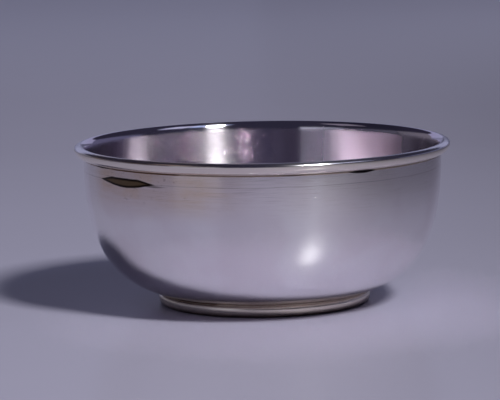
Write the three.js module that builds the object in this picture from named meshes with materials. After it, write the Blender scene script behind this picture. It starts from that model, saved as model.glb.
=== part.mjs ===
// A round silver bowl on a low rounded foot ring, its rim thickened by a D-section wire.
// Millimetres. +Z is up, Z = 0 is the table, and the bowl's axis is the Z axis.
// Every piece is a body of revolution: an outline in (radius, height), turned about Z.

import * as THREE from "three";

// The sheet that the bowl is raised from
const sheetThickness = 1.0;
const wallRadius = 57.1; // outside of the upright wall, below the rim
const bowlHeight = 51.65; // table to the crest of the rim
const standHeight = 2.55; // table to the lowest point of the bowl's underside

// The wall follows (radius / wallRadius)^n + (drop / depth)^m = 1, a superellipse
const wallUprightness = 4.55; // n: the larger, the longer the wall stays upright
const bottomRoundness = 2.43; // m: 2 would be an ellipse, more is a flatter bottom

// The lip, flared outwards over the wire
const flareRun = 1.0; // how far the wall leans out before the crest
const flareRise = 2.4; // height over which it leans out

// The rim wire, a D in section, flat against the wall
const rimOverhang = 2.9; // how far the rim stands out from the wall
const wireHeight = 2.7;

// The foot, a D-section wire bent to a ring, tucked in below and filed flat where it stands
const footRadius = 33.9; // outside of the ring
const footTuck = 1.5; // how far its round face draws in, from its widest point to the flat
const footFlat = 1.2; // width of the filed flat
const footWidest = 2.6; // height of the ring's widest point
const neckInset = 0.9; // from the outside of the ring in to its neck, under the bowl
const neckHeight = 0.35; // of the neck, where the solder runs up to the bowl

// Solder: a thin film between the pieces, and a fillet in each open corner
const solderFilm = 0.05;
const rimFillet = 0.45;
const footFillet = 0.4; // how far the foot's fillet runs out under the bowl

// How finely the outlines and the turns are divided
const turnSteps = 72; // facets round the bowl, the same for every piece so that they seat
const wallSteps = 24;
const flareSteps = 5;
const lipSteps = 5;
const wireSteps = 8;
const faceSteps = 7;
const shoulderSteps = 4;
const filletSteps = 3;

// Heights and radii worked out from the sizes above
const lipUnderside = bowlHeight - sheetThickness;
const flareStart = lipUnderside - flareRise;
const wallDepth = flareStart - standHeight;
const crestRadius = wallRadius + flareRun;
const rimRadius = wallRadius + rimOverhang;
const wireTop = lipUnderside - solderFilm;
const wireUnderside = wireTop - wireHeight;
const flatRadius = footRadius - footTuck;
const footInnerRadius = flatRadius - footFlat;
const neckRadius = footRadius - neckInset;
const neckTop = undersideAt(neckRadius) - solderFilm;
const neckStart = neckTop - neckHeight;
const neckShare = (neckRadius - flatRadius) / footTuck; // cosine of the neck's place on the shoulder
const shoulderRise = (neckStart - footWidest) / Math.sqrt(1 - neckShare ** 2);

const silver = { color: 0xd9d5d6, roughness: 0.16, metalness: 1.0 };
const footSilver = { color: 0xcfcac8, roughness: 0.3, metalness: 1.0 };
const solderSilver = { color: 0xc4bcb2, roughness: 0.35, metalness: 1.0 };

/** Points on a stretch of ellipse about (r, z), from one angle to another in degrees. */
function ellipseArc(r, z, radiusAcross, radiusUp, fromAngle, toAngle, steps) {
  const points = [];
  for (let i = 0; i <= steps; i++) {
    const degrees = fromAngle + ((toAngle - fromAngle) * i) / steps;
    const angle = THREE.MathUtils.degToRad(degrees);
    points.push(
      new THREE.Vector2(
        r + radiusAcross * Math.cos(angle),
        z + radiusUp * Math.sin(angle),
      ),
    );
  }
  return points;
}

/** Height of the bowl's underside at a radius, by the superellipse. */
function undersideAt(radius) {
  const share = 1 - (radius / wallRadius) ** wallUprightness;
  return flareStart - wallDepth * share ** (1 / bottomRoundness);
}

/** The wall's outside, from the middle of the bottom to the foot of the flare, evenly spaced. */
function wallOutline() {
  const curve = new THREE.Curve();
  curve.getPoint = (t) => {
    const angle = (1 - t) * (Math.PI / 2);
    return new THREE.Vector2(
      wallRadius * Math.max(Math.cos(angle), 0) ** (2 / wallUprightness),
      flareStart - wallDepth * Math.sin(angle) ** (2 / bottomRoundness),
    );
  };
  curve.arcLengthDivisions = 4000;
  const points = curve.getSpacedPoints(wallSteps);
  points[0].set(0, standHeight);
  points[wallSteps].set(wallRadius, flareStart);
  return points;
}

/** Unit vector that points out of the wall at a point of its outline. */
function wallNormal(point) {
  const drop = flareStart - point.y;
  return new THREE.Vector2(
    (wallUprightness / wallRadius) *
      (point.x / wallRadius) ** (wallUprightness - 1),
    (-bottomRoundness / wallDepth) * (drop / wallDepth) ** (bottomRoundness - 1),
  ).normalize();
}

/** The outside of the flare, from the wall to the underside of the lip's crest. */
function flareOutline() {
  return ellipseArc(
    crestRadius,
    flareStart,
    flareRun,
    flareRise,
    180,
    90,
    flareSteps,
  );
}

/** Unit vector out of the flare's hollow side, towards the wire. */
function flareNormal(point) {
  return new THREE.Vector2(
    (crestRadius - point.x) / flareRun ** 2,
    (flareStart - point.y) / flareRise ** 2,
  ).normalize();
}

/** Moves each point along its normal. */
function offset(points, normalAt, distance) {
  return points.map((point) =>
    point.clone().addScaledVector(normalAt(point), distance),
  );
}

/** Turns an outline about Z into a named mesh. */
function turned(name, outline, finish) {
  const geometry = new THREE.LatheGeometry(outline, turnSteps);
  geometry.rotateX(Math.PI / 2);
  const mesh = new THREE.Mesh(geometry, new THREE.MeshStandardMaterial(finish));
  mesh.name = name;
  return mesh;
}

/** Closes an outline on itself, for a ring that doesn't reach the axis. */
function closed(outline) {
  return [...outline, outline[0].clone()];
}

/** The bowl: one sheet from the middle of the bottom to the rounded edge of the lip. */
function bowlBody() {
  const outside = wallOutline();
  const flare = flareOutline();
  const inside = offset(outside, wallNormal, -sheetThickness);
  const flareInside = offset(flare, flareNormal, -sheetThickness);
  inside[0].x = 0;
  const lip = ellipseArc(
    crestRadius,
    lipUnderside,
    rimRadius - crestRadius,
    sheetThickness,
    0,
    90,
    lipSteps,
  );
  return turned(
    "bowl_body",
    [
      ...outside,
      ...flare.slice(1),
      ...lip,
      ...flareInside.slice(0, -1).reverse(),
      ...inside.slice(0, -1).reverse(),
    ],
    silver,
  );
}

/** The wire under the lip: flat against the wall, rounded outside. */
function rimWire() {
  const face = ellipseArc(
    wallRadius + solderFilm,
    wireTop,
    rimOverhang - solderFilm,
    wireHeight,
    -90,
    0,
    wireSteps,
  );
  const seat = offset(flareOutline(), flareNormal, solderFilm).reverse();
  return turned("rim_wire", closed([...face, ...seat]), silver);
}

/** The fillet of solder in the corner between the wire's underside and the wall. */
function rimSolder() {
  const cornerRadius = wallRadius + solderFilm;
  const cornerHeight = wireUnderside - solderFilm;
  const hollow = ellipseArc(
    cornerRadius + rimFillet,
    cornerHeight - rimFillet,
    rimFillet,
    rimFillet,
    180,
    90,
    filletSteps,
  );
  const corner = new THREE.Vector2(cornerRadius, cornerHeight);
  return turned("rim_solder", closed([...hollow, corner]), solderSilver);
}

/** The foot: a filed flat, a rounded face and shoulder, and a neck that meets the bowl's underside. */
function footRing() {
  const neckAngle = THREE.MathUtils.radToDeg(Math.acos(neckShare));
  const face = ellipseArc(
    flatRadius,
    footWidest,
    footTuck,
    footWidest,
    -90,
    0,
    faceSteps,
  );
  const shoulder = ellipseArc(
    flatRadius,
    footWidest,
    footTuck,
    shoulderRise,
    0,
    neckAngle,
    shoulderSteps,
  );
  const topInner = undersideAt(footInnerRadius) - solderFilm;
  return turned(
    "foot_ring",
    closed([
      new THREE.Vector2(footInnerRadius, 0),
      ...face,
      ...shoulder.slice(1),
      new THREE.Vector2(neckRadius, neckTop),
      new THREE.Vector2(footInnerRadius, topInner),
    ]),
    footSilver,
  );
}

/** The fillet of solder in the corner between the foot's neck and the bowl's underside. */
function footSolder() {
  const cornerRadius = neckRadius + solderFilm;
  const outerRadius = cornerRadius + footFillet;
  const cornerHeight = undersideAt(cornerRadius) - solderFilm;
  const outerHeight = undersideAt(outerRadius) - solderFilm;
  const lowest = neckStart + solderFilm;
  const hollow = ellipseArc(
    outerRadius,
    lowest,
    footFillet,
    outerHeight - lowest,
    180,
    90,
    filletSteps,
  );
  const corner = new THREE.Vector2(cornerRadius, cornerHeight);
  return turned("foot_solder", closed([...hollow, corner]), solderSilver);
}

const silverBowl = new THREE.Group();
silverBowl.add(bowlBody(), rimWire(), rimSolder(), footRing(), footSolder());

export default silverBowl;
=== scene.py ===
# %% [markdown]
# A small silver bowl, finished in Blender.
#
# The bowl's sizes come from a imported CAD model, whose pieces are right but faceted. A mirror
# shows every facet, so here each piece is made again as a fine smooth surface of the same size,
# and gets the finish of worn, hand-polished silver. All lengths are in metres.

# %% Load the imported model
import math

import bpy
import numpy as np
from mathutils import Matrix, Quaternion, Vector


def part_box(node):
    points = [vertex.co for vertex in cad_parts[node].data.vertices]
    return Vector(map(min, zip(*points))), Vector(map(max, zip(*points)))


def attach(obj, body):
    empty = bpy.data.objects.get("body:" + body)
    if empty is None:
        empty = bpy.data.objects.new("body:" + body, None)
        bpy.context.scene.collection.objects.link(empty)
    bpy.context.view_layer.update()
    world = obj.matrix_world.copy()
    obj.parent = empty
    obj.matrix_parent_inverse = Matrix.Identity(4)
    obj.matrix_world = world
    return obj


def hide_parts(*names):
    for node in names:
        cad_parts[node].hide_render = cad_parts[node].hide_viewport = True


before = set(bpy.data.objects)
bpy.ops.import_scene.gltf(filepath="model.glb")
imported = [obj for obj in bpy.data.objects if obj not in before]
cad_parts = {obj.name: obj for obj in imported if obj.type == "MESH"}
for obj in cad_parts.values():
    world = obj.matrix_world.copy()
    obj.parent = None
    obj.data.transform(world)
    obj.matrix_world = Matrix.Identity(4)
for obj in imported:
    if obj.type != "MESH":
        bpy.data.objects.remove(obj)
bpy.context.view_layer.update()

print("CAD nodes:", ", ".join(sorted(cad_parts)))

# %% [markdown]
# Two helpers serve every material below. Blender works in linear light, while colours are easiest
# to pick as the hex values of a picture, so one function turns one into the other. The second
# adds a node to a material with its settings and links, so that a material reads like a recipe,
# from top to bottom.

# %% Helpers for colours and nodes
MM = 0.001


def linear(hex_colour):
    """The linear colour of an sRGB hex value.

    A channel c becomes c / 12.92 when it is dark, and ((c + 0.055) / 1.055) ^ 2.4 otherwise.
    """
    channels = [int(hex_colour[i : i + 2], 16) / 255 for i in (0, 2, 4)]
    return [c / 12.92 if c <= 0.04045 else ((c + 0.055) / 1.055) ** 2.4 for c in channels] + [1.0]


def add_node(tree, kind, inputs=None, **settings):
    """Adds a node; an input given as a socket is linked, and any other is set as a value."""
    node = tree.nodes.new(kind)
    for name, value in settings.items():
        setattr(node, name, value)
    for name, value in (inputs or {}).items():
        if isinstance(value, bpy.types.NodeSocket):
            tree.links.new(value, node.inputs[name])
        else:
            node.inputs[name].default_value = value
    return node.outputs


print(f"hex 808080 is {linear('808080')[0]:.3f} in linear light")

# %% [markdown]
# The bowl is silver sheet, raised over a stake to an upright wall with a round bottom. Its lip is
# flared over a D-shaped wire, which is soldered on to stiffen the edge, and it stands on a ring of
# rounded wire, tucked in below, filed flat where it stands and soldered underneath. The overall
# sizes are read from the CAD nodes' boxes, and only the sheet, the film of solder and the curves
# between them are given here.

# %% Sizes
bowl_low, bowl_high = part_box("bowl_body")
wire_low, wire_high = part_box("rim_wire")
rim_solder_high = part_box("rim_solder")[1]
foot_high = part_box("foot_ring")[1]

SHEET = 1.0 * MM  # thickness of the sheet
RIM_OVERHANG = 2.9 * MM  # how far the rim stands out from the wall
FLARE_RUN = 1.0 * MM  # how far the lip leans out before its crest
FLARE_RISE = 2.4 * MM  # height over which it leans out
UPRIGHTNESS = 4.55  # n and m of the wall, (r / wall radius)^n + (drop / depth)^m = 1
ROUNDNESS = 2.43
SOLDER_FILM = 0.05 * MM
FOOT_FILLET = 0.4 * MM
FOOT_TUCK = 1.5 * MM  # how far the foot's round face draws in, from its widest point to the flat
FOOT_FLAT = 1.2 * MM  # width of the flat that it stands on
FOOT_WIDEST = 2.6 * MM  # height of the foot's widest point
NECK_INSET = 0.9 * MM  # from the outside of the foot in to its neck, under the bowl
NECK_HEIGHT = 0.35 * MM  # of the neck, where the solder runs up to the bowl

rim_radius = bowl_high.x
wall_radius = rim_radius - RIM_OVERHANG
crest_radius = wall_radius + FLARE_RUN
lip_underside = bowl_high.z - SHEET
flare_start = lip_underside - FLARE_RISE
wall_depth = flare_start - bowl_low.z
wire_height = wire_high.z - wire_low.z
rim_fillet = rim_solder_high.x - wall_radius - SOLDER_FILM
foot_radius = foot_high.x
flat_radius = foot_radius - FOOT_TUCK
foot_inner_radius = flat_radius - FOOT_FLAT
neck_radius = foot_radius - NECK_INSET
print(f"rim {2 * rim_radius / MM:.1f} mm across, foot {2 * foot_radius / MM:.1f} mm across")
print(f"{bowl_high.z / MM:.2f} mm high")

# %% [markdown]
# Every piece of the bowl is round, so each is one outline carried round the axis. A Screw modifier
# could do that, but worked out with numpy the same grid of points also carries an attribute that
# says how far along the outline each point lies. The finish needs it: polishing scratches run
# round the bowl, and lie close together along the outline.

# %% Outlines
WALL_SAMPLES = 20000  # fine steps of the wall's curve, before it is divided evenly


def arc(r, z, across, up, start, end, steps):
    """Points (r + across cos a, z + up sin a), for angles a from start to end in degrees."""
    a = np.radians(np.linspace(start, end, steps + 1))
    return np.stack([r + across * np.cos(a), z + up * np.sin(a)], -1)


def underside_at(r):
    """Height of the bowl's underside: flare start - depth (1 - (r / wall radius)^n)^(1/m)."""
    return flare_start - wall_depth * (1 - (r / wall_radius) ** UPRIGHTNESS) ** (1 / ROUNDNESS)


def evenly_spaced(outline, steps):
    """The same line, with steps + 1 points at equal distances along it."""
    along = np.concatenate([[0], np.cumsum(np.hypot(*np.diff(outline, axis=0).T))])
    wanted = np.linspace(0, along[-1], steps + 1)
    return np.stack([np.interp(wanted, along, outline[:, k]) for k in (0, 1)], -1)


def wall_outline(steps):
    """The superellipse r = R cos(t)^(2/n), z = start - depth sin(t)^(2/m), from the bottom to the flare."""
    t = np.linspace(math.pi / 2, 0, WALL_SAMPLES + 1)
    r = wall_radius * np.clip(np.cos(t), 0, 1) ** (2 / UPRIGHTNESS)
    z = flare_start - wall_depth * np.sin(t) ** (2 / ROUNDNESS)
    r[0] = 0
    return evenly_spaced(np.stack([r, z], -1), steps)


def wall_normal(outline):
    """The unit gradient of the superellipse, which points out of the wall."""
    drop = np.clip(flare_start - outline[:, 1], 0, None)
    across = UPRIGHTNESS / wall_radius * (outline[:, 0] / wall_radius) ** (UPRIGHTNESS - 1)
    down = -ROUNDNESS / wall_depth * (drop / wall_depth) ** (ROUNDNESS - 1)
    normal = np.stack([across, down], -1)
    return normal / np.linalg.norm(normal, axis=1)[:, None]


def flare_normal(outline):
    """The unit vector from the flare's ellipse towards its hollow side, where the wire lies."""
    across = (crest_radius - outline[:, 0]) / FLARE_RUN**2
    down = (flare_start - outline[:, 1]) / FLARE_RISE**2
    normal = np.stack([across, down], -1)
    return normal / np.linalg.norm(normal, axis=1)[:, None]


def length_of(outline):
    """The sum of the distances between neighbouring points."""
    return np.hypot(*np.diff(outline, axis=0).T).sum()


print(f"the wall's outline is {length_of(wall_outline(steps=200)) / MM:.1f} mm long")

# %% [markdown]
# Turning an outline gives a grid: a row for each of its points, and a column for each step round
# the axis. The columns close on the first one. A ring closes on its first row as well, and a shape
# that starts and ends on the axis closes there with a fan of triangles.

# %% The surface that an outline makes when turned
TURNS = 256  # steps round the axis
SHARP_EDGE = math.radians(40)  # edges that turn by more stay sharp


def faces_round(rows, on_axis):
    """The corners of every face of the grid, row by row, and how many corners each face has."""
    index = np.arange(rows * TURNS).reshape(rows, TURNS)
    if not on_axis:
        index = np.concatenate([index, index[:1]])
    after = np.roll(index, -1, 1)
    quads = np.stack([index[:-1], after[:-1], after[1:], index[1:]], -1)
    if not on_axis:
        return quads.ravel(), np.full(quads.size // 4, 4)
    bottom, top = quads[0][:, [0, 2, 3]], quads[-1][:, [0, 1, 2]]
    bottom[:, 0], top[:, 2] = index[0, 0], index[-1, 0]
    quads = quads[1:-1]
    fan = np.full(TURNS, 3)
    corners = np.concatenate([bottom.ravel(), quads.ravel(), top.ravel()])
    return corners, np.concatenate([fan, np.full(quads.size // 4, 4), fan])


def turned(name, outline, waves=None):
    """Carries an outline round Z: x = r cos a, y = r sin a, z = z, with one vertex where r is 0.

    waves(along, angle), where given, is a depth by which the surface is pushed in, along its normal.
    """
    step = np.hypot(*np.diff(outline, axis=0).T)
    along = np.concatenate([[0], np.cumsum(step)])
    angle = np.arange(TURNS) * 2 * math.pi / TURNS
    r, z = (np.repeat(outline[:, k : k + 1], TURNS, 1) for k in (0, 1))
    if waves is not None:
        tangent = np.gradient(outline, along, axis=0)
        tangent /= np.linalg.norm(tangent, axis=1)[:, None]
        depth = waves(along[:, None], angle[None, :])
        r -= depth * tangent[:, 1:2]
        z += depth * tangent[:, 0:1]
    points = np.stack([r * np.cos(angle), r * np.sin(angle), z], -1)
    corners, sizes = faces_round(len(outline), on_axis=outline[0, 0] == 0)
    used, corners = np.unique(corners, return_inverse=True)
    starts = np.concatenate([[0], np.cumsum(sizes)[:-1]])
    mesh = bpy.data.meshes.new(name)
    mesh.vertices.add(len(used))
    mesh.vertices.foreach_set("co", points.reshape(-1, 3)[used].ravel())
    mesh.loops.add(len(corners))
    mesh.loops.foreach_set("vertex_index", corners.ravel().astype(np.int32))
    mesh.polygons.add(len(sizes))
    mesh.polygons.foreach_set("loop_start", starts.astype(np.int32))
    mesh.update(calc_edges=True)
    mesh.shade_smooth()
    mesh.set_sharp_from_angle(angle=SHARP_EDGE)
    attribute = mesh.attributes.new("along", "FLOAT", "POINT")
    attribute.data.foreach_set("value", np.repeat(along, TURNS)[used].astype(np.float32))
    piece = bpy.data.objects.new(name, mesh)
    bpy.context.scene.collection.objects.link(piece)
    print(f"{name}: {len(used)} vertices, {len(sizes)} faces")
    return piece


def finish_piece(piece, node, slot, *materials):
    """Gives a piece its materials, and says which CAD node it stands for and which finish it has."""
    for material in materials:
        piece.data.materials.append(material)
    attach(piece, "root")
    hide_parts(node)
    finishes = " and ".join(material.name for material in materials)
    print(f"{piece.name} stands for {node}, in {finishes}")


# %% [markdown]
# Patterns on a turned piece need two directions: round the axis and along the outline. Noise whose
# coordinates are (cos a, sin a) times a small number, and the distance along the outline times a
# large one, comes out as fine streaks that run round the bowl and have no seam.

# %% Noise that follows the turning, and noise that doesn't
def place_on_bowl(tree):
    """Sockets: the unit vector away from the axis, the angle from the front, and the height."""
    point = add_node(tree, "ShaderNodeTexCoord")["Object"]
    flat = add_node(tree, "ShaderNodeVectorMath", {0: point, 1: (1, 1, 0)}, operation="MULTIPLY")[0]
    outward = add_node(tree, "ShaderNodeVectorMath", {0: flat}, operation="NORMALIZE")[0]
    parts = add_node(tree, "ShaderNodeSeparateXYZ", {0: point})
    back = add_node(tree, "ShaderNodeMath", {0: parts["Y"], 1: -1.0}, operation="MULTIPLY")[0]
    angle = add_node(tree, "ShaderNodeMath", {0: parts["X"], 1: back}, operation="ARCTAN2")[0]
    return outward, angle, parts["Z"]


def streaks(tree, outward, length, width, detail=3.0, seed=0.0):
    """Noise drawn out round the axis: length is a streak's length on the wall, width its breadth."""
    along = add_node(tree, "ShaderNodeAttribute", attribute_name="along")["Fac"]
    across = add_node(tree, "ShaderNodeMath", {0: along, 1: 1 / width}, operation="MULTIPLY")[0]
    lifted = add_node(tree, "ShaderNodeCombineXYZ", {"Z": across})[0]
    stretched = {0: outward, 1: (wall_radius / length,) * 3, 2: lifted}
    point = add_node(tree, "ShaderNodeVectorMath", stretched, operation="MULTIPLY_ADD")[0]
    noise = {"Vector": point, "W": seed, "Scale": 1.0, "Detail": detail, "Roughness": 0.6}
    return add_node(tree, "ShaderNodeTexNoise", noise, noise_dimensions="4D")["Fac"]


def blotches(tree, size, detail=2.0, seed=0.0):
    """Noise of the same breadth every way, for uneven tarnish."""
    point = add_node(tree, "ShaderNodeTexCoord")["Object"]
    noise = {"Vector": point, "W": seed, "Scale": 1 / size, "Detail": detail}
    return add_node(tree, "ShaderNodeTexNoise", noise, noise_dimensions="4D")["Fac"]


print(f"streaks are stretched round a wall of {wall_radius / MM:.1f} mm radius")

# %% [markdown]
# A worn finish is a few layers, each with a mask that says where it lies. A mask is a number from
# 0 to 1 at every place, and masks are multiplied to get the places that all of them cover.

# %% Masks, and a layer of colour over another
def fade(tree, value, low, high, to_low=0.0, to_high=1.0):
    """Smooth step: to_low where the value is low, to_high where it is high. Ends may be sockets."""
    ends = {"Value": value, "From Min": low, "From Max": high, "To Min": to_low, "To Max": to_high}
    return add_node(tree, "ShaderNodeMapRange", ends, interpolation_type="SMOOTHSTEP")[0]


def times(tree, *values):
    """The product of several masks."""
    product = values[0]
    for value in values[1:]:
        product = add_node(tree, "ShaderNodeMath", {0: product, 1: value}, operation="MULTIPLY")[0]
    return product


def between(tree, value, start, full, last, end):
    """1 between full and last, falling smoothly to 0 at start and end."""
    return times(tree, fade(tree, value, start, full), fade(tree, value, last, end, 1.0, 0.0))


def sector(tree, angle, *degrees):
    """The same for an angle from the front, with the four limits in degrees."""
    return between(tree, angle, *(math.radians(limit) for limit in degrees))


LENS_POWER = 0.6  # below 1, a lens is full and blunt, and at 1 it is slender


def lens(tree, angle, height, start, fullest, end, middle, half_breadth):
    """Depth inside a mark drawn out round the bowl, pointed at its start and end angles, in metres.

    depth = half breadth * share^0.6 - |height - middle|, with a share of 0 at both ends, 1 where fullest
    """
    across = add_node(tree, "ShaderNodeMath", {0: height, 1: middle}, operation="SUBTRACT")[0]
    offset = add_node(tree, "ShaderNodeMath", {0: across}, operation="ABSOLUTE")[0]
    share = sector(tree, angle, start, fullest, fullest, end)
    full = add_node(tree, "ShaderNodeMath", {0: share, 1: LENS_POWER}, operation="POWER")[0]
    reach = times(tree, full, half_breadth)
    return add_node(tree, "ShaderNodeMath", {0: reach, 1: offset}, operation="SUBTRACT")[0]


def tint(tree, colour, share, over):
    """Lays one colour over another: the first where the share is 0, the second where it is 1.

    Each colour is a hex value or a socket.
    """
    under, over = (linear(c) if isinstance(c, str) else c for c in (colour, over))
    layers = {"Factor": share, 6: under, 7: over}
    return add_node(tree, "ShaderNodeMix", layers, data_type="RGBA", clamp_factor=True)[2]


print(f"a mark's lens shape has a power of {LENS_POWER}")

# %% [markdown]
# Sterling silver is nearly white and reflects more than nine tenths of the light. Here it is worn
# by years of cloth and use: the outside keeps a soft gloss under very fine scratches, and a warm
# film of tarnish has settled under the rim, where a cloth can't reach. It is strongest at the
# left, round a dark brown spot, which is a painted reflection of a dark thing beside the bowl, and
# the crease under the wire has gone black in places. A painted picture could hold all this, but
# layers laid over each other by masks stay sharp at any size.

# %% What every metal here shares
CREASE_BLACK = "1C1719"
CREASE_MARKS = (  # start, fullest and end angles in degrees, height, half-breadth
    (-67, -61, -53, 47.7 * MM, 0.45 * MM),
    (3, 9, 15, 47.55 * MM, 0.2 * MM),
    (26, 32.5, 38, 47.5 * MM, 0.6 * MM),
)
MARK_EDGE = 0.2 * MM  # how deep inside a mark its colour is full
NOISE_LOW, NOISE_HIGH = 0.3, 0.7  # noise values that give the smoothest and the roughest places


def new_material(name):
    """An empty material and its node tree."""
    material = bpy.data.materials.new(name)
    material.use_nodes = True
    material.node_tree.nodes.clear()
    return material, material.node_tree


def black_crease(tree, colour, angle, height):
    """The marks in the crease under the wire, black where the depth inside a mark reaches its edge."""
    for mark in CREASE_MARKS:
        dark = fade(tree, lens(tree, angle, height, *mark), 0.0, MARK_EDGE)
        colour = tint(tree, colour, dark, CREASE_BLACK)
    return colour


def finish_metal(tree, colour, roughness, height, depth, anisotropy=0.0):
    """Closes a metal: colour and roughness as sockets, and a bump from height, depth metres deep."""
    bump = add_node(tree, "ShaderNodeBump", {"Height": height, "Distance": depth, "Strength": 1.0})[0]
    tangent = add_node(tree, "ShaderNodeTangent", direction_type="RADIAL", axis="Z")[0]
    metal = {
        "Base Color": colour,
        "Metallic": 1.0,
        "Roughness": roughness,
        "Normal": bump,
        "Tangent": tangent,
        "Anisotropic": anisotropy,
        "Anisotropic Rotation": 0.25,  # a quarter turn: reflections are drawn out up and down
    }
    shader = add_node(tree, "ShaderNodeBsdfPrincipled", metal)[0]
    add_node(tree, "ShaderNodeOutputMaterial", {"Surface": shader})


# %% [markdown]
# The film under the rim is a product of masks: how high it lies, which side it lies on, where an
# upright stripe of painted highlight thins it above the lamp's mirrored glint, and the streaks that a
# cloth left in it.

# %% The film of tarnish and the scratches in it
SILVER = "F6F3F5"
FILM_TAN = "E2CCB6"
CLOUDY_SILVER = "EBE3E6"
SCRATCH_BROWN = "8C7B72"
FILM_HEIGHTS = (31 * MM, 42 * MM)  # it thickens between these heights
FILM_SIDE = (-72, -55, -25, 5)  # angles in degrees between which it is strongest
FILM_ELSEWHERE = 0.12  # its strength on the rest of the wall
FILM_STREAK = (30 * MM, 1.6 * MM)  # length and breadth of a streak in it
HIGHLIGHT_STRIPE = (12.0, 16.0, 16.5, 20.5)  # angles in degrees of the upright stripe of painted highlight
FILM_IN_HIGHLIGHT_STRIPE = 0.2  # the film's strength in that stripe
CLOUD, FLECK = 16 * MM, 1.1 * MM  # breadth of a cloudy patch, and of a brown fleck

# Masks made from noise: its value from and to, and the strength there
FILM_MASK = (0.2, 0.6, 0.55, 1.0)
CLOUD_MASK = (0.42, 0.62, 0.0, 0.5)
SCRATCH_MASK = (0.55, 0.7, 0.0, 0.45)
FLECK_MASK = (0.62, 0.74, 0.0, 0.4)


def tarnish_film(tree, outward, angle, height, hairlines, highlight_stripe):
    """Bare silver, then the film, cloudy patches, fine scratches, and flecks at the left."""
    under_rim = fade(tree, height, *FILM_HEIGHTS)
    film_side = sector(tree, angle, *FILM_SIDE)
    strength = fade(tree, film_side, 0.0, 1.0, FILM_ELSEWHERE, 1.0)
    # painted highlight: the film thins in an upright stripe, so the wall is lighter there
    kept = fade(tree, highlight_stripe, 0.0, 1.0, 1.0, FILM_IN_HIGHLIGHT_STRIPE)
    streaky = fade(tree, streaks(tree, outward, *FILM_STREAK), *FILM_MASK)
    colour = tint(tree, SILVER, times(tree, under_rim, strength, kept, streaky), FILM_TAN)
    cloudy = fade(tree, blotches(tree, CLOUD, detail=4.0, seed=5.0), *CLOUD_MASK)
    colour = tint(tree, colour, cloudy, CLOUDY_SILVER)
    scratches = times(tree, under_rim, fade(tree, hairlines, *SCRATCH_MASK))
    colour = tint(tree, colour, scratches, SCRATCH_BROWN)
    specks = fade(tree, blotches(tree, FLECK, seed=8.0), *FLECK_MASK)
    return tint(tree, colour, times(tree, under_rim, film_side, specks), SCRATCH_BROWN)


print(f"film from {FILM_HEIGHTS[0] / MM:.0f} mm up, strongest at {FILM_SIDE[1:3]} degrees")

# %% [markdown]
# The dark brown spot is a painted reflection: the wall mirrors a dark brown thing that stands to
# the left of the bowl, and that image is painted into the silver's colour. It is dark at its edge,
# olive brown in the middle, flat along its top, and drawn out to a thin tail. It is made as a lens
# shape whose height is shaken by noise, so that its edge is ragged, and its colours follow the
# depth inside that shape.

# %% The painted brown reflection
PAINTED_REFLECTION_EDGE, PAINTED_REFLECTION_CORE = "231B17", "6E5D45"
PAINTED_REFLECTION = (-62, -48, -35, 44.1 * MM, 1.7 * MM)  # start, fullest and end angles, height, half-breadth
PAINTED_REFLECTION_TOP = 45.3 * MM  # its upper edge is straight
PAINTED_REFLECTION_TAIL = (-42, -37, -29, 43.6 * MM, 0.5 * MM)
PAINTED_REFLECTION_RAGGED = 0.5 * MM  # how far noise moves its edge up and down, in all
PAINTED_REFLECTION_WAVE = 9 * MM  # breadth of that noise
PAINTED_REFLECTION_DARK_RIM = (-0.15 * MM, 0.15 * MM)  # depths over which the dark edge comes in
PAINTED_REFLECTION_LIGHT_CORE = (0.35 * MM, 1.0 * MM)  # and the lighter middle
TAIL_EDGE, TAIL_STRENGTH = 0.4 * MM, 0.6


def painted_brown_reflection(tree, colour, angle, height):
    """The smaller of the lens's depth and the depth below its straight top picks the painted reflection's
    colour.
    """
    uneven = blotches(tree, PAINTED_REFLECTION_WAVE, seed=1.0)
    shaken = {0: uneven, 1: PAINTED_REFLECTION_RAGGED, 2: -PAINTED_REFLECTION_RAGGED / 2}
    ragged = add_node(tree, "ShaderNodeMath", shaken, operation="MULTIPLY_ADD")[0]
    wavy_height = add_node(tree, "ShaderNodeMath", {0: ragged, 1: height}, operation="ADD")[0]
    below_top = add_node(tree, "ShaderNodeMath", {0: PAINTED_REFLECTION_TOP, 1: wavy_height}, operation="SUBTRACT")[0]
    eye = lens(tree, angle, wavy_height, *PAINTED_REFLECTION)
    depth = add_node(tree, "ShaderNodeMath", {0: eye, 1: below_top}, operation="MINIMUM")[0]
    colour = tint(tree, colour, fade(tree, depth, *PAINTED_REFLECTION_DARK_RIM), PAINTED_REFLECTION_EDGE)
    colour = tint(tree, colour, fade(tree, depth, *PAINTED_REFLECTION_LIGHT_CORE), PAINTED_REFLECTION_CORE)
    tail = lens(tree, angle, wavy_height, *PAINTED_REFLECTION_TAIL)
    return tint(tree, colour, fade(tree, tail, 0.0, TAIL_EDGE, 0.0, TAIL_STRENGTH), PAINTED_REFLECTION_EDGE)


print(f"stain {PAINTED_REFLECTION[2] - PAINTED_REFLECTION[0]} degrees long and up to {2 * PAINTED_REFLECTION[4] / MM:.1f} mm broad")

# %% [markdown]
# The scratches are far too fine to see one by one, so they are drawn a little coarser, as streaks
# that run round the wall. What the eye gets from them is that every reflection is drawn out up
# and down, which the shader's anisotropy does.

# %% Silver outside: sterling sheet, polished by hand
HAIRLINE = (9 * MM, 0.12 * MM)  # length and breadth of a scratch
HAIRLINE_DEPTH = 0.0005 * MM
WALL_ROUGHNESS = (0.15, 0.19)
WALL_ANISOTROPY = 0.8
FOOT_CORNER, CORNER_ROUGHNESS = (3.5 * MM, 5.5 * MM), 0.12  # duller in the corner above the foot
BRUSHED_HEIGHTS = (16 * MM, 26 * MM, 44 * MM, 47 * MM)  # heights of the stripe of painted highlight, where the wall is also rougher
BRUSHED_ROUGHNESS = 0.02
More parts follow.
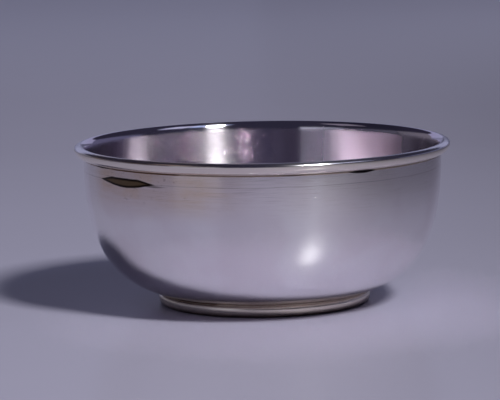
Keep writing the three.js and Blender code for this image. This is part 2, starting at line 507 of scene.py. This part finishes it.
# painted shade: a tan tint that darkens the wall low down, just above the foot
NEAR_FOOT, NEAR_FOOT_SHADE_SHARE, NEAR_FOOT_PAINTED_SHADE = (4 * MM, 9 * MM), 0.5, "B9A592"
LIP_OUTSIDE = (49.5 * MM, 50.5 * MM)  # heights over which the wall's gloss turns into the lip's
LIP_OUTSIDE_ROUGHNESS = 0.2


def outside_roughness(tree, height, hairlines, highlight_stripe):
    """Scratches + dull corner + brushed stripe, up to the lip, which has a roughness of its own."""
    fine = fade(tree, hairlines, NOISE_LOW, NOISE_HIGH, *WALL_ROUGHNESS)
    corner = fade(tree, height, *FOOT_CORNER, CORNER_ROUGHNESS, 0.0)
    brushed = times(tree, highlight_stripe, between(tree, height, *BRUSHED_HEIGHTS), BRUSHED_ROUGHNESS)
    rough = add_node(tree, "ShaderNodeMath", {0: corner, 1: fine}, operation="ADD")[0]
    rough = add_node(tree, "ShaderNodeMath", {0: brushed, 1: rough}, operation="ADD")[0]
    return fade(tree, height, *LIP_OUTSIDE, rough, LIP_OUTSIDE_ROUGHNESS)


def outside_silver():
    """Soft polish with a tan film and scratches under the rim, a painted brown reflection, a black crease,
    and painted shade above the foot.
    """
    material, tree = new_material("sterling_silver_hand_polished")
    outward, angle, height = place_on_bowl(tree)
    hairlines = streaks(tree, outward, *HAIRLINE, seed=3.0)
    # the upright stripe of painted highlight, above the lamp's mirrored glint
    highlight_stripe = sector(tree, angle, *HIGHLIGHT_STRIPE)
    colour = tarnish_film(tree, outward, angle, height, hairlines, highlight_stripe)
    # painted reflection: the dark brown spot under the rim at the left
    colour = painted_brown_reflection(tree, colour, angle, height)
    colour = black_crease(tree, colour, angle, height)
    # painted shade: the wall darkens to tan just above the foot
    colour = tint(tree, colour, fade(tree, height, *NEAR_FOOT, NEAR_FOOT_SHADE_SHARE, 0.0), NEAR_FOOT_PAINTED_SHADE)
    rough = outside_roughness(tree, height, hairlines, highlight_stripe)
    finish_metal(tree, colour, rough, hairlines, HAIRLINE_DEPTH, anisotropy=WALL_ANISOTROPY)
    return material


# %% [markdown]
# The inside is burnished round and round. Its rings are too fine to see, so it needs no pattern,
# only full anisotropy, which turns each lamp into an upright column. On one side it is duller.

# %% Silver inside: the same sheet, burnished
INSIDE_BACK, INSIDE_SIDES, INSIDE_DULL = "F0E9EF", "E6D8E3", "C0B9C2"
SIDES_TO_BACK = (0.4, 0.8)  # Y of the unit vector away from the axis, where the tint changes
DULL_SIDE = (110, 136, 150, 166)  # angles in degrees between which it has lost some shine
DULL_ROUGHNESS = 0.12
INSIDE_ROUGHNESS = (0.2, 0.23)
INSIDE_PATCH = 30 * MM  # breadth of a smoother or rougher patch
LIP_INSIDE = (48.8 * MM, 50.0 * MM)  # heights over which the wall's gloss turns into the lip's
LIP_INSIDE_ROUGHNESS = 0.1


def inside_silver():
    """Smooth but for its anisotropy, with a tint at the sides and one duller side."""
    material, tree = new_material("sterling_silver_burnished")
    outward, angle, height = place_on_bowl(tree)
    uneven = blotches(tree, INSIDE_PATCH, seed=2.0)
    facing = add_node(tree, "ShaderNodeSeparateXYZ", {0: outward})["Y"]
    colour = tint(tree, INSIDE_BACK, fade(tree, facing, *SIDES_TO_BACK, 1.0, 0.0), INSIDE_SIDES)
    dull = sector(tree, angle, *DULL_SIDE)
    colour = tint(tree, colour, dull, INSIDE_DULL)
    even = fade(tree, uneven, NOISE_LOW, NOISE_HIGH, *INSIDE_ROUGHNESS)
    duller = {0: dull, 1: DULL_ROUGHNESS, 2: even}
    rough = add_node(tree, "ShaderNodeMath", duller, operation="MULTIPLY_ADD")[0]
    rough = fade(tree, height, *LIP_INSIDE, rough, LIP_INSIDE_ROUGHNESS)
    finish_metal(tree, colour, rough, uneven, 0.0, anisotropy=1.0)
    return material


# %% [markdown]
# The wire of the rim is drawn through a plate, so it is hard and bright, with lines along it. The
# foot's wire is duller, and painted shade darkens it to brown low down, where it stands on the
# board. Solder has less silver in it than the sheet, so it is yellower and tarnishes first.

# %% Bead, foot and solder
BEAD_SILVER, BEAD_LINES, BEAD_ROUGHNESS = "F4ECE1", "D6CABF", (0.08, 0.14)
FOOT_SILVER, FOOT_PAINTED_SHADE, FOOT_ROUGHNESS = "E6DCCE", "4A382A", (0.26, 0.34)
# painted shade: the foot darkens to brown below these heights, where it meets the board
FOOT_SHADE_BELOW, FOOT_SHADE_STRENGTH = (0.4 * MM, 1.9 * MM), 0.9
SOLDER_SILVER, SOLDER_BROWN, SOLDER_ROUGHNESS = "C2B3A4", "6B4F3C", (0.3, 0.4)
SOLDER_BROWN_SIDE = (-60, -52, -28, -24)  # angles in degrees between which it is all brown
BEAD_LINE, FOOT_LINE = (40 * MM, 0.15 * MM), (25 * MM, 0.3 * MM)  # length and breadth of a line
SOLDER_LINE = (12 * MM, 0.3 * MM)
BEAD_MASK = (0.4, 0.7, 0.0, 0.3)  # the noise's value from and to, and the strength there
SOLDER_MASK = (NOISE_LOW, NOISE_HIGH, 0.2, 0.6)
WIRE_LINE_DEPTH, SOLDER_DEPTH = 0.001 * MM, 0.002 * MM


def bead_silver():
    """Drawn wire, the hardest and brightest part of the bowl."""
    material, tree = new_material("silver_wire_polished")
    outward = place_on_bowl(tree)[0]
    rings = streaks(tree, outward, *BEAD_LINE, seed=7.0)
    colour = tint(tree, BEAD_SILVER, fade(tree, rings, *BEAD_MASK), BEAD_LINES)
    rough = fade(tree, rings, NOISE_LOW, NOISE_HIGH, *BEAD_ROUGHNESS)
    finish_metal(tree, colour, rough, rings, WIRE_LINE_DEPTH)
    return material


def foot_silver():
    """The rounded wire of the foot, a little duller than the bowl, with brown painted shade low down."""
    material, tree = new_material("silver_wire_worn")
    outward, _, height = place_on_bowl(tree)
    rings = streaks(tree, outward, *FOOT_LINE, seed=9.0)
    # painted shade low on the foot, where it stands on the board
    low = fade(tree, height, *FOOT_SHADE_BELOW, FOOT_SHADE_STRENGTH, 0.0)
    rough = fade(tree, rings, NOISE_LOW, NOISE_HIGH, *FOOT_ROUGHNESS)
    finish_metal(tree, tint(tree, FOOT_SILVER, low, FOOT_PAINTED_SHADE), rough, rings, WIRE_LINE_DEPTH)
    return material


def solder_silver():
    """Silver solder, yellower than the sheet, with brown tarnish that turns black in places."""
    material, tree = new_material("silver_solder_tarnished")
    outward, angle, height = place_on_bowl(tree)
    rings = streaks(tree, outward, *SOLDER_LINE, seed=11.0)
    either = {0: fade(tree, rings, *SOLDER_MASK), 1: sector(tree, angle, *SOLDER_BROWN_SIDE)}
    brown = add_node(tree, "ShaderNodeMath", either, operation="MAXIMUM")[0]
    colour = black_crease(tree, tint(tree, SOLDER_SILVER, brown, SOLDER_BROWN), angle, height)
    rough = fade(tree, rings, NOISE_LOW, NOISE_HIGH, *SOLDER_ROUGHNESS)
    finish_metal(tree, colour, rough, rings, SOLDER_DEPTH)
    return material


# %% [markdown]
# The bowl is one sheet: its outline runs from the middle of the underside out and up the wall,
# round the lip, and back down the inside at one sheet's thickness. The wall gets waves a hundredth
# of a millimetre deep, as a hand-raised wall has, and they make its reflections waver. They could
# be a bump in the material, but the mirrored edges only waver rightly on a surface that does.

# %% The hammer's waves
WAVE_DEPTH = 0.012 * MM
HAMMER_WAVES = (  # waves round the bowl, length up the wall in millimetres, phase, share
    (3, 23, 0.4, 1.0),
    (5, 17, 2.1, 0.8),
    (8, 31, 4.4, 0.6),
    (11, 13, 5.2, 0.5),
    (2, 41, 1.3, 1.0),
)
FADE_AT_FOOT, FADE_AT_RIM = 12 * MM, 16 * MM  # lengths over which they fade out


def hand_waves(along, angle):
    """The depth of the hammer's marks, between 0 and the wave depth.

    It is a sum of share sin(count a + phase) sin(2 pi along / length + 2 phase), brought to 0 to 1.
    """
    total = sum(
        share * np.sin(count * angle + phase) * np.sin(along / (length * MM) * 2 * math.pi + 2 * phase)
        for count, length, phase, share in HAMMER_WAVES
    )
    return WAVE_DEPTH * (0.5 + 0.5 * total / sum(share for *_, share in HAMMER_WAVES))


print(f"{len(HAMMER_WAVES)} waves, together up to {WAVE_DEPTH / MM:.3f} mm deep")

# %% The bowl
WALL_STEPS = 110
LIP_STEPS = 22
FLARE_STEPS = 12


def bowl_outline():
    """Underside and wall, hollow of the flare, lip, and the same lines offset by the sheet's thickness."""
    wall = wall_outline(WALL_STEPS)
    flare = arc(crest_radius, flare_start, FLARE_RUN, FLARE_RISE, 180, 90, FLARE_STEPS)
    lip = arc(crest_radius, lip_underside, rim_radius - crest_radius, SHEET, 0, 90, LIP_STEPS)
    inner_flare = flare - SHEET * flare_normal(flare)
    inner_wall = wall - SHEET * wall_normal(wall)
    inner_wall[0, 0] = 0
    return np.concatenate([wall, flare[1:], lip, inner_flare[:-1][::-1], inner_wall[:-1][::-1]]), len(wall)


def bowl_waves(along, angle):
    """The planishing waves, on the outside only, faded out towards the foot and the rim."""
    from_foot = np.clip((along - neck_radius) / FADE_AT_FOOT, 0, 1)
    from_rim = np.clip((wall_length - along) / FADE_AT_RIM, 0, 1)
    return hand_waves(along, angle) * (from_foot * from_rim) ** 2


outline, wall_points = bowl_outline()
wall_length = length_of(outline[:wall_points])
bowl = turned("bowl_sheet", outline, bowl_waves)
finish_piece(bowl, "bowl_body", "polished_silver", outside_silver(), inside_silver())

# %% [markdown]
# The bowl is one closed skin, and its faces lie in the outline's order. So the inside's faces are
# those that come after the lip, and they get the second material.

# %% The inside's faces get the second material
order = np.arange(len(bowl.data.polygons)) // TURNS
first_inside = wall_points + FLARE_STEPS + LIP_STEPS
bowl.data.polygons.foreach_set("material_index", (order >= first_inside).astype(np.int32))
print(f"{(order >= first_inside).sum()} faces lie inside")

# %% [markdown]
# The rim wire is a quarter of an ellipse in section, flat against the wall and flush with the lip.
# Its back follows the hollow of the flare, one film of solder away, so nothing overlaps.

# %% The rim wire and its solder
WIRE_STEPS = 40
FILLET_STEPS = 10


def wire_outline():
    """A quarter ellipse outside, and the flare's hollow side, one film of solder away, inside."""
    wire_top = lip_underside - SOLDER_FILM
    breadth = RIM_OVERHANG - SOLDER_FILM
    face = arc(wall_radius + SOLDER_FILM, wire_top, breadth, wire_height, -90, 0, WIRE_STEPS)
    flare = arc(crest_radius, flare_start, FLARE_RUN, FLARE_RISE, 180, 90, FLARE_STEPS)
    seat = (flare + SOLDER_FILM * flare_normal(flare))[::-1]
    return np.concatenate([face, seat])


def fillet_outline(corner_radius, corner_height, across, lowest, outer_height):
    """A hollow quarter ellipse of solder in a corner, from its lowest point out to its outer one."""
    up = outer_height - lowest
    hollow = arc(corner_radius + across, lowest, across, up, 180, 90, FILLET_STEPS)
    return np.concatenate([hollow, [[corner_radius, corner_height]]])


wire = turned("rim_bead", wire_outline())
finish_piece(wire, "rim_wire", "polished_silver", bead_silver())

rim_corner = wire_low.z - SOLDER_FILM
rim_line = turned(
    "rim_solder_line",
    fillet_outline(wall_radius + SOLDER_FILM, rim_corner, rim_fillet, rim_corner - rim_fillet, rim_corner),
)
solder = solder_silver()
finish_piece(rim_line, "rim_solder", "solder", solder)

# %% [markdown]
# The foot is a rounded wire bent to a ring. It is filed flat where it stands, and its top is filed
# to a neck that fits the bowl's underside, where the solder runs in.

# %% The foot ring and its solder
FACE_STEPS = 40
SHOULDER_STEPS = 20
SEAT_POINTS = 6

neck_top = underside_at(neck_radius) - SOLDER_FILM
neck_start = neck_top - NECK_HEIGHT


def foot_outline():
    """A filed flat, a round face and shoulder, the neck, and a seat that follows the bowl's underside."""
    neck_share = (neck_radius - flat_radius) / FOOT_TUCK
    shoulder_rise = (neck_start - FOOT_WIDEST) / math.sqrt(1 - neck_share**2)
    neck_angle = math.degrees(math.acos(neck_share))
    face = arc(flat_radius, FOOT_WIDEST, FOOT_TUCK, FOOT_WIDEST, -90, 0, FACE_STEPS)
    shoulder = arc(flat_radius, FOOT_WIDEST, FOOT_TUCK, shoulder_rise, 0, neck_angle, SHOULDER_STEPS)
    radii = np.linspace(neck_radius, foot_inner_radius, SEAT_POINTS)
    seat = np.stack([radii, underside_at(radii) - SOLDER_FILM], -1)
    return np.concatenate([[[foot_inner_radius, 0]], face, shoulder[1:], seat])


foot = turned("foot_moulding", foot_outline())
finish_piece(foot, "foot_ring", "foot_silver", foot_silver())

neck_corner = neck_radius + SOLDER_FILM
foot_line = turned(
    "foot_solder_line",
    fillet_outline(
        neck_corner,
        underside_at(neck_corner) - SOLDER_FILM,
        FOOT_FILLET,
        neck_start + SOLDER_FILM,
        underside_at(neck_corner + FOOT_FILLET) - SOLDER_FILM,
    ),
)
finish_piece(foot_line, "foot_solder", "solder", solder)

# %% [markdown]
# The bowl stands on a pale, almost matt board under a thin coat of wax. A mirror only looks like
# silver when there is something to reflect, and most of what this wall shows is the board in front
# of it. The board's colour carries painted shade to the right and towards the camera, and painted
# light far behind the bowl, in place of the lamp's fall-off. Shades on the lamps could do that as
# well, but painted shade is easier to place.

# %% The floor
FLOOR_HALF = 4.0
BOARD, BOARD_GRAIN, GRAIN_SIZE = "ACA8BC", "B0ACC0", 90 * MM
# painted shade: the board's colour where the lamp's light falls off
BOARD_PAINTED_SHADE = "66636F"
LIT_RIGHT, DIM_RIGHT = -0.05, 0.33  # the painted shade comes in between these distances to the right
LIT_FRONT, DIM_FRONT = -0.35, -0.9  # and between these towards the camera
BOARD_PAINTED_LIGHT, FAR_BEHIND = "CBC9E0", (0.4, 1.2)  # painted light: the board lightens between these behind the bowl


def pale_board():
    """Smooth lavender-grey board with a faint waxy gloss, with painted shade and painted light by place."""
    material, tree = new_material("pale_board")
    point = add_node(tree, "ShaderNodeTexCoord")["Object"]
    noise = {"Vector": point, "Scale": 1 / GRAIN_SIZE, "Detail": 3.0}
    grain = add_node(tree, "ShaderNodeTexNoise", noise)["Fac"]
    colour = tint(tree, BOARD, grain, BOARD_GRAIN)
    parts = add_node(tree, "ShaderNodeSeparateXYZ", {0: point})
    lit_across = fade(tree, parts["X"], LIT_RIGHT, DIM_RIGHT, 1.0, 0.0)
    lit_along = fade(tree, parts["Y"], DIM_FRONT, LIT_FRONT)
    colour = tint(tree, BOARD_PAINTED_SHADE, times(tree, lit_across, lit_along), colour)
    colour = tint(tree, colour, fade(tree, parts["Y"], *FAR_BEHIND), BOARD_PAINTED_LIGHT)
    board = {"Base Color": colour, "Roughness": 0.7, "Coat Weight": 0.3, "Coat Roughness": 0.21}
    shader = add_node(tree, "ShaderNodeBsdfPrincipled", board)[0]
    add_node(tree, "ShaderNodeOutputMaterial", {"Surface": shader})
    return material


floor_mesh = bpy.data.meshes.new("floor")
corners = [(-1, -1), (1, -1), (1, 1), (-1, 1)]
floor_mesh.from_pydata([(x * FLOOR_HALF, y * FLOOR_HALF, 0) for x, y in corners], [], [(0, 1, 2, 3)])
floor = bpy.data.objects.new("floor", floor_mesh)
bpy.context.scene.collection.objects.link(floor)
floor.data.materials.append(pale_board())
print(f"the board is {2 * FLOOR_HALF:.0f} m square")

# %% [markdown]
# One soft lamp in front and to the right makes the shadow and the highlights. The rest is dim and
# slightly blue: windows high at both sides, cards low all round, which the upright wall and the
# rim mirror, and a pale backdrop low behind the bowl, which gives the board its sheen. The dark
# room between them is what makes the metal look like metal.

# %% A lamp that faces the bowl
def area_light(name, azimuth, elevation, distance, across, along, brightness, hex_colour):
    """A rectangular light that faces the bowl. Azimuth 0 is in front, and grows to the right.

    Its power is worked out from its brightness: power = brightness * pi * area.
    """
    light = bpy.data.lights.new(name, "AREA")
    light.shape = "RECTANGLE"
    light.size, light.size_y = across, along
    light.energy = brightness * math.pi * across * along
    light.color = linear(hex_colour)[:3]
    lamp = bpy.data.objects.new(name, light)
    a, e = math.radians(azimuth), math.radians(elevation)
    towards = Vector((math.sin(a) * math.cos(e), -math.cos(a) * math.cos(e), math.sin(e)))
    lamp.location = towards * distance
    lamp.rotation_mode = "QUATERNION"
    lamp.rotation_quaternion = towards.to_track_quat("Z", "Y")
    bpy.context.scene.collection.objects.link(lamp)
    print(f"{name}: {across} by {along} m, {light.energy:.1f} W")


# %% The lamps: azimuth, elevation, distance, width, height, brightness and colour of each
# The one strong lamp makes the shadow and the highlights
area_light("softbox", 38, 46, 2, 0.3, 0.4, 92, "FFFFFF")

# Windows, high up, light the flare and the inside
area_light("right_window", 45, 50, 4, 1.38, 1.41, 0.7, "B8CCFF")
area_light("far_window", 75, 50, 4, 1.38, 1.41, 0.65, "D8DCFF")
area_light("left_window", -75, 50, 4, 1.38, 1.41, 0.3, "F4ECFF")

# The backdrop is dimmer low down at the right, and that part darkens the two ends of the rim
area_light("backdrop", 180, 15, 4, 4.45, 0.92, 0.42, "D2D6FF")
area_light("backdrop_low_left", 195, 3.5, 4, 2.14, 0.68, 0.26, "D2D6FF")
area_light("backdrop_low_right", 165, 3.5, 4, 2.14, 0.68, 0.12, "D2D6FF")

# Cards, low down, give the upright wall and the inside their columns
area_light("left_card", -42, 10, 4, 2.2, 1.41, 0.6, "E8EEFF")
area_light("left_card_dim", -80, 10, 4, 3.4, 1.41, 0.13, "E8E8FF")
area_light("back_card", -128, 10, 4, 3.3, 1.41, 0.14, "F6F4FF")
area_light("right_card", 120, 10, 4, 4.55, 1.41, 0.14, "C8CCFF")

# %% [markdown]
# What no lamp, card or board covers is the room, a dim violet grey. Pure black there would leave
# hard black bands in the rim, and a lighter room would wash the silver out.

# %% The room
ROOM_COLOUR = "2A2939"
world = bpy.data.worlds.new("room")
bpy.context.scene.world = world
world.use_nodes = True
world.node_tree.nodes.clear()
room = {"Color": linear(ROOM_COLOUR), "Strength": 1.0}
background = add_node(world.node_tree, "ShaderNodeBackground", room)[0]
add_node(world.node_tree, "ShaderNodeOutputWorld", {"Surface": background})
print(f"the room's light is {linear(ROOM_COLOUR)[0]:.3f} in red")

# %% [markdown]
# The camera stands a metre away, eight degrees above the table, with a long lens. It was fitted to
# the ellipses of the rim and the foot. The bowl sits right of the middle, so the camera is turned
# a little past it instead of shifting its lens, and it is tilted by one degree.

# %% The camera
IMAGE_WIDTH, IMAGE_HEIGHT = 500, 400
AIM = Vector((0, 0, 25.55 * MM))
AIM_PIXEL_X, AIM_PIXEL_Y = 263.0, 222.06
CAMERA_DISTANCE = 1.0
CAMERA_ELEVATION = math.radians(8.2)
CAMERA_ROLL = math.radians(-1.0)
FOCAL_PIXELS = 3119.44
SENSOR = 36.0

camera_data = bpy.data.cameras.new("camera")
camera_data.sensor_width = SENSOR
camera_data.lens = FOCAL_PIXELS * SENSOR / IMAGE_WIDTH
camera = bpy.data.objects.new("camera", camera_data)
bpy.context.scene.collection.objects.link(camera)
back = Vector((0, -math.cos(CAMERA_ELEVATION), math.sin(CAMERA_ELEVATION)))
camera.location = AIM + back * CAMERA_DISTANCE
side = math.atan((AIM_PIXEL_X - IMAGE_WIDTH / 2) / FOCAL_PIXELS)
drop = math.atan((AIM_PIXEL_Y - IMAGE_HEIGHT / 2) / FOCAL_PIXELS)
camera.rotation_mode = "QUATERNION"
camera.rotation_quaternion = (
    (-back).to_track_quat("-Z", "Y")
    @ Quaternion((0, 1, 0), side)
    @ Quaternion((1, 0, 0), drop)
    @ Quaternion((0, 0, 1), CAMERA_ROLL)
)
bpy.context.scene.camera = camera
bpy.context.scene.view_settings.view_transform = "Standard"
print(f"lens {camera_data.lens:.0f} mm, {CAMERA_DISTANCE} m away")

# %% [markdown]
# The wall throws the lamp's light down on the board in front of it, and shows that glow again in
# its lower half. Cycles would cut off and blur such light by default, so both are switched off.

# %% Keep the light that the silver throws on the board
bpy.context.scene.cycles.sample_clamp_indirect = 0.0
bpy.context.scene.cycles.blur_glossy = 0.0
print("no clamp on mirrored light, and no blur of it")
